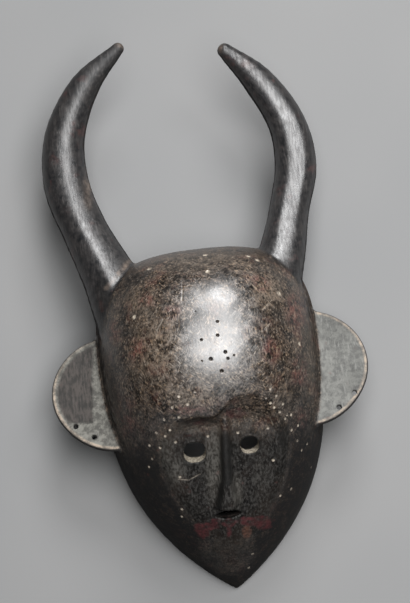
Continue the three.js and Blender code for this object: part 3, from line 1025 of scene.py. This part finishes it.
FACE_GREY = (0.0068, 0.0063, 0.0057, 1)
FACE_BROWN = (0.0108, 0.0083, 0.0069, 1)
FACE_FIBRE = (0.022, 0.021, 0.0192, 1)
FACE_FLECK = (0.030, 0.027, 0.024, 1)
FACE_WEAR_AND_LIGHT = (0.036, 0.034, 0.030, 1)
LEFT_EAR_DARK = (0.029, 0.028, 0.025, 1)
LEFT_EAR_GREY = (0.077, 0.075, 0.067, 1)
RIGHT_EAR_DARK = (0.040, 0.040, 0.038, 1)
RIGHT_EAR_GREY = (0.076, 0.076, 0.071, 1)
RIGHT_EAR_SCRATCH = (0.026, 0.026, 0.025, 1)
RIGHT_EAR_FIBRE = (0.101, 0.101, 0.095, 1)
PATCH_DARK = (0.0100, 0.0094, 0.0086, 1)
PATCH_BROWN = (0.027, 0.0235, 0.0215, 1)
EAR_RIM_TAN = (0.166, 0.134, 0.105, 1)
EAR_EDGE_SHADE = (0.0060, 0.0052, 0.0048, 1)
RAW_BROWN = (0.050, 0.033, 0.021, 1)
RAW_TAN = (0.105, 0.072, 0.048, 1)
RAW_DARK = (0.032, 0.023, 0.017, 1)
SHADE_AND_PATINA_BLACK = (0.0022, 0.0022, 0.0024, 1)
SHADE_AND_GRIME_BLACK = (0.0033, 0.0032, 0.0030, 1)
RED_DARK = (0.0144, 0.0036, 0.0042, 1)
RED_LIGHT = (0.042, 0.0120, 0.0128, 1)
OCHRE = (0.050, 0.024, 0.017, 1)
CHALK = (0.216, 0.187, 0.149, 1)
BARE_SHADED = (0.26, 0.225, 0.17, 1)
BARE_PALE = (0.56, 0.50, 0.40, 1)
FLOOR_DARK = (0.082, 0.083, 0.084, 1)
FLOOR_LIGHT = (0.090, 0.090, 0.090, 1)


def wood_material():
    n = Nodes("patinated_wood")
    place = n.add("ShaderNodeTexCoord", output="Object")
    lengthwise = n.add("ShaderNodeMapping", {"Vector": place, "Scale": (1.0, 0.12, 1.0)})
    names = ("face", "horn", "ear", "inside", "shade_and_patina", "dull", "wear_and_light", "shade_and_grime", "red", "bare")
    face, horn, ear, hidden, shade_and_patina, dull, wear_and_light, shade_and_grime, red, bare = map(n.attribute, names)

    broad = n.noise(place, 26, 4, 0.6)
    mottle = n.noise(place, 120, 6, 0.72)
    patches = n.noise(place, 62, 5, 0.68)
    flecks = n.noise(place, 380, 4, 0.66)
    fibres = n.noise(lengthwise, 520, 3, 0.6)
    reddish = n.noise(place, 46, 5, 0.62)
    upright = n.strokes(place, 4, 760, 7)
    leaning = n.strokes(place, -38, 800, 5)
    crossing = n.strokes(place, 47, 800, 5)
    hatching = n.number_mix(n.stretch(n.noise(place, 60), 0.44, 0.56), leaning, crossing)
    hatching = n.number_mix(n.stretch(n.noise(place, 45), 0.47, 0.58), hatching, upright)
    grain = n.number_mix(0.5, flecks, n.number_mix(face, hatching, upright))
    tone = n.stretch(mottle, 0.36, 0.66, kind="LINEAR")

    # The dome: black-brown patina, mottled, with tan flecks, soft red-brown patches and fine strokes.
    dome = n.colour_mix(tone, DOME_DARK, DOME_BROWN)
    dome = n.over(dome, DOME_BLACK, patches, 0.53, 0.41, 0.8)
    dome = n.over(dome, DOME_FADED, broad, 0.50, 0.66, 0.35)
    dome = n.over(dome, DOME_REDDISH, reddish, 0.53, 0.66, 0.5)
    dome = n.over(dome, DOME_WORN, mottle, 0.40, 0.62, 0.75, 0.1, wear_and_light)
    dome = n.over(dome, DOME_RUSTY, mottle, 0.42, 0.62, 0.75, 0.0, n.attribute("rust"))
    tan_grain = n.stretch(grain, 0.51, 0.63, 0, 0.85)
    dome = n.over(dome, DOME_TAN_FLECK, patches, 0.42, 0.58, 1.0, 0.4, tan_grain)
    dome = n.over(dome, DOME_BLACK_FLECK, grain, 0.49, 0.39, 0.8)
    light_strokes = n.math("MAXIMUM", n.stretch(leaning, 0.62, 0.72), n.stretch(crossing, 0.63, 0.73))
    light_strokes = n.math("MAXIMUM", light_strokes, n.stretch(upright, 0.64, 0.74))
    dome = n.colour_mix(n.times(light_strokes, 0.55), dome, DOME_PALE_STROKE)

    # The horns: nearly black and cool, a little brown where the patina is thin.
    black = n.colour_mix(tone, HORN_BLACK, HORN_BROWN)
    black = n.over(black, HORN_FIBRE, fibres, 0.55, 0.72, 0.4)
    black = n.colour_mix(n.times(wear_and_light, tone), black, HORN_WORN)
    black = n.over(black, HORN_REDDISH, reddish, 0.57, 0.70, 0.28)

    # The face: grey-black and duller, with fine upright streaks.
    grey = n.colour_mix(tone, FACE_BLACK, FACE_GREY)
    grey = n.over(grey, FACE_BROWN, broad, 0.44, 0.64, 0.55)
    grey = n.over(grey, FACE_FIBRE, fibres, 0.48, 0.68, 0.55)
    grey = n.over(grey, FACE_FLECK, flecks, 0.56, 0.72, 0.45)
    # Lighter grey where worn, and painted light beside the nose and along its left edge.
    grey = n.over(grey, FACE_WEAR_AND_LIGHT, fibres, 0.36, 0.62, 0.85, 0.25, wear_and_light)

    # The ears: worn grey, the left one with a darker patch, and a tan rim inside a black edge of painted
    # shade.
    left = n.over(LEFT_EAR_DARK, LEFT_EAR_GREY, mottle, 0.40, 0.62)
    # The right ear is given lighter greys than the left.
    right = n.over(RIGHT_EAR_DARK, RIGHT_EAR_GREY, mottle, 0.36, 0.64)
    right = n.over(right, RIGHT_EAR_SCRATCH, leaning, 0.60, 0.74, 0.6)
    right = n.over(right, RIGHT_EAR_FIBRE, fibres, 0.52, 0.70, 0.6)
    patch = n.over(PATCH_DARK, PATCH_BROWN, n.number_mix(0.45, fibres, mottle), 0.40, 0.60)
    pale = n.colour_mix(n.attribute("ear_patch"), left, patch)
    pale = n.colour_mix(n.attribute("ear_right"), pale, right)
    pale = n.over(pale, EAR_RIM_TAN, mottle, 0.42, 0.60, 0.9, 0.25, n.attribute("ear_rim"))
    # A black edge of painted shade round each ear.
    pale = n.colour_mix(n.times(n.attribute("ear_edge_shade"), 0.95), pale, EAR_EDGE_SHADE)

    # The hollow: bare tooled wood gone brown.
    raw_tone = n.number_mix(0.3, patches, fibres)
    raw = n.over(RAW_BROWN, RAW_TAN, raw_tone, 0.38, 0.62)
    raw = n.over(raw, RAW_DARK, broad, 0.45, 0.65, 0.7)

    # The regions over one another, with pigment, painted shade, grime and bare wood on top.
    base = n.colour_mix(face, dome, grey)
    base = n.colour_mix(horn, base, black)
    base = n.colour_mix(ear, base, pale)
    # Painted shade low on the sides, the cheeks and under the chin, in part near-black patina.
    base = n.over(base, SHADE_AND_PATINA_BLACK, mottle, 0.42, 0.64, 0.75, 0.95, shade_and_patina)
    # Painted shade and grime.
    base = n.colour_mix(n.times(shade_and_grime, 0.85), base, SHADE_AND_GRIME_BLACK)
    pigment = n.colour_mix(tone, RED_DARK, RED_LIGHT)
    base = n.over(base, pigment, flecks, 0.36, 0.56, 0.9, 0.45, red)
    base = n.over(base, OCHRE, flecks, 0.38, 0.56, 0.7, 0.25, n.attribute("ochre"))
    base = n.colour_mix(n.times(n.attribute("white"), 0.8), base, CHALK)
    base = n.colour_mix(hidden, base, raw)
    base = n.colour_mix(bare, base, n.over(BARE_SHADED, BARE_PALE, flecks, 0.40, 0.58))

    # Gloss: the dome and the horns are polished by handling, the face and the ears are not.
    def uneven(low, high):
        return n.stretch(mottle, 0.34, 0.68, low, high)

    gloss = n.math("ADD", uneven(0.32, 0.44), n.stretch(broad, 0.35, 0.65, -0.03, 0.03))
    gloss = n.number_mix(face, gloss, uneven(0.48, 0.60))
    gloss = n.number_mix(horn, gloss, uneven(0.34, 0.44))
    gloss = n.number_mix(n.stretch(dull, 0.4, 1), gloss, 0.95)
    gloss = n.number_mix(ear, gloss, uneven(0.88, 1.0))
    for region, roughness in ((shade_and_patina, 0.95), (red, 0.85), (hidden, 0.85), (bare, 0.85)):
        gloss = n.number_mix(region, gloss, roughness)

    height = n.math("ADD", n.times(grain, 0.6), n.times(fibres, 0.45))
    height = n.math("ADD", height, n.times(mottle, 0.8))
    height = n.math("SUBTRACT", height, n.times(light_strokes, 0.25))
    height = n.number_mix(hidden, height, n.times(raw_tone, 1.2))
    bump = n.add("ShaderNodeBump", {"Strength": 0.38, "Distance": 0.0005, "Height": height})

    # The oily shine is strongest on the dome and the horns, and nearly gone on the painted shade, grime
    # and near-black patina.
    shine = n.times(n.stretch(mottle, 0.36, 0.60, 0.35, 1.0), n.stretch(grain, 0.38, 0.53, 0.45, 1.0))
    shine = n.number_mix(n.attribute("polished"), shine, 1.0)
    shine = n.number_mix(horn, shine, n.stretch(fibres, 0.36, 0.58, 0.5, 0.8))
    shine = n.times(shine, n.stretch(dull, 0, 1, 1, 0.1, kind="LINEAR"))
    shine = n.number_mix(face, shine, n.stretch(fibres, 0.36, 0.62, 0.03, 0.2))
    shine = n.number_mix(ear, shine, 0.30)
    shine = n.number_mix(n.math("MAXIMUM", shade_and_patina, shade_and_grime), shine, 0.15)
    shine = n.number_mix(n.math("MAXIMUM", red, hidden), shine, 0.1)
    return n.surface({
        "Base Color": base, "Roughness": gloss, "Normal": bump,
        "Specular IOR Level": 0.8, "Specular Tint": n.colour_mix(shine, BLACK, WHITE),
    })


mesh.materials.append(wood_material())
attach(carving_piece, "root")
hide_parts("mask")


# The floor: plain and pale, with a fine plaster tooth.
def floor_material():
    n = Nodes("pale_floor")
    place = n.add("ShaderNodeTexCoord", output="Object")
    tooth = n.noise(place, 300)
    shade = n.over(FLOOR_DARK, FLOOR_LIGHT, n.noise(place, 3), 0.3, 0.7)
    bump = n.add("ShaderNodeBump", {"Strength": 0.1, "Distance": 0.0003, "Height": tooth})
    return n.surface({"Base Color": shade, "Roughness": 0.85, "Normal": bump})


# The floor and the lights are in metres.
FLOOR_HALF = 6.0
corners = [(FLOOR_HALF * i, FLOOR_HALF * j, 0) for i, j in ((-1, -1), (1, -1), (1, 1), (-1, 1))]
floor_mesh = bpy.data.meshes.new("floor")
floor_mesh.from_pydata(corners, [], [(0, 1, 2, 3)])
floor_mesh.materials.append(floor_material())
floor = add_object("floor", floor_mesh)

LIT_MIDDLE = Vector((0, 0, 0.1))
AIR = (0.85, 0.92, 1.0, 1.0)
AIR_STRENGTH = 0.02


# A soft box that faces the middle of the mask. Lean is from straight up, heading from +Y to +X, and
# its length lies along the mask.
def soft_box(name, lean, heading, distance, width, length, power):
    light = bpy.data.lights.new(name, "AREA")
    light.shape = "ELLIPSE"
    light.size = width
    light.size_y = length
    light.energy = power
    lamp = add_object(name, light)
    lean, heading = math.radians(lean), math.radians(heading)
    away = Vector((math.sin(lean) * math.sin(heading), math.sin(lean) * math.cos(heading), math.cos(lean)))
    across = Vector((0, 1, 0)).cross(away).normalized()
    turn = Matrix((across, away.cross(across), away)).transposed().to_4x4()
    lamp.matrix_world = Matrix.Translation(away * distance + LIT_MIDDLE) @ turn


soft_box("key_light", lean=9, heading=105, distance=1.6, width=1.05, length=1.6, power=90)
soft_box("back_light", lean=48, heading=14, distance=2.2, width=0.9, length=0.9, power=70)
soft_box("side_light", lean=36, heading=58, distance=1.9, width=0.6, length=0.6, power=16)

world = bpy.data.worlds.new("studio")
world.use_nodes = True
background = world.node_tree.nodes["Background"]
background.inputs["Color"].default_value = AIR
background.inputs["Strength"].default_value = AIR_STRENGTH
scene.world = world
scene.view_settings.view_transform = "Standard"

camera_data = bpy.data.cameras.new("camera")
camera_data.sensor_width = SENSOR
camera_data.lens = CAMERA_DISTANCE * SENSOR / max(IMAGE_SIZE)
camera_data.clip_end = CAMERA_FAR * MM
camera = add_object("camera", camera_data)
turn = Matrix((right_axis, up_axis, back_axis)).transposed().to_4x4()
camera.matrix_world = Matrix.Translation((camera_place + SHIFT) * MM) @ turn
bpy.context.scene.camera = camera
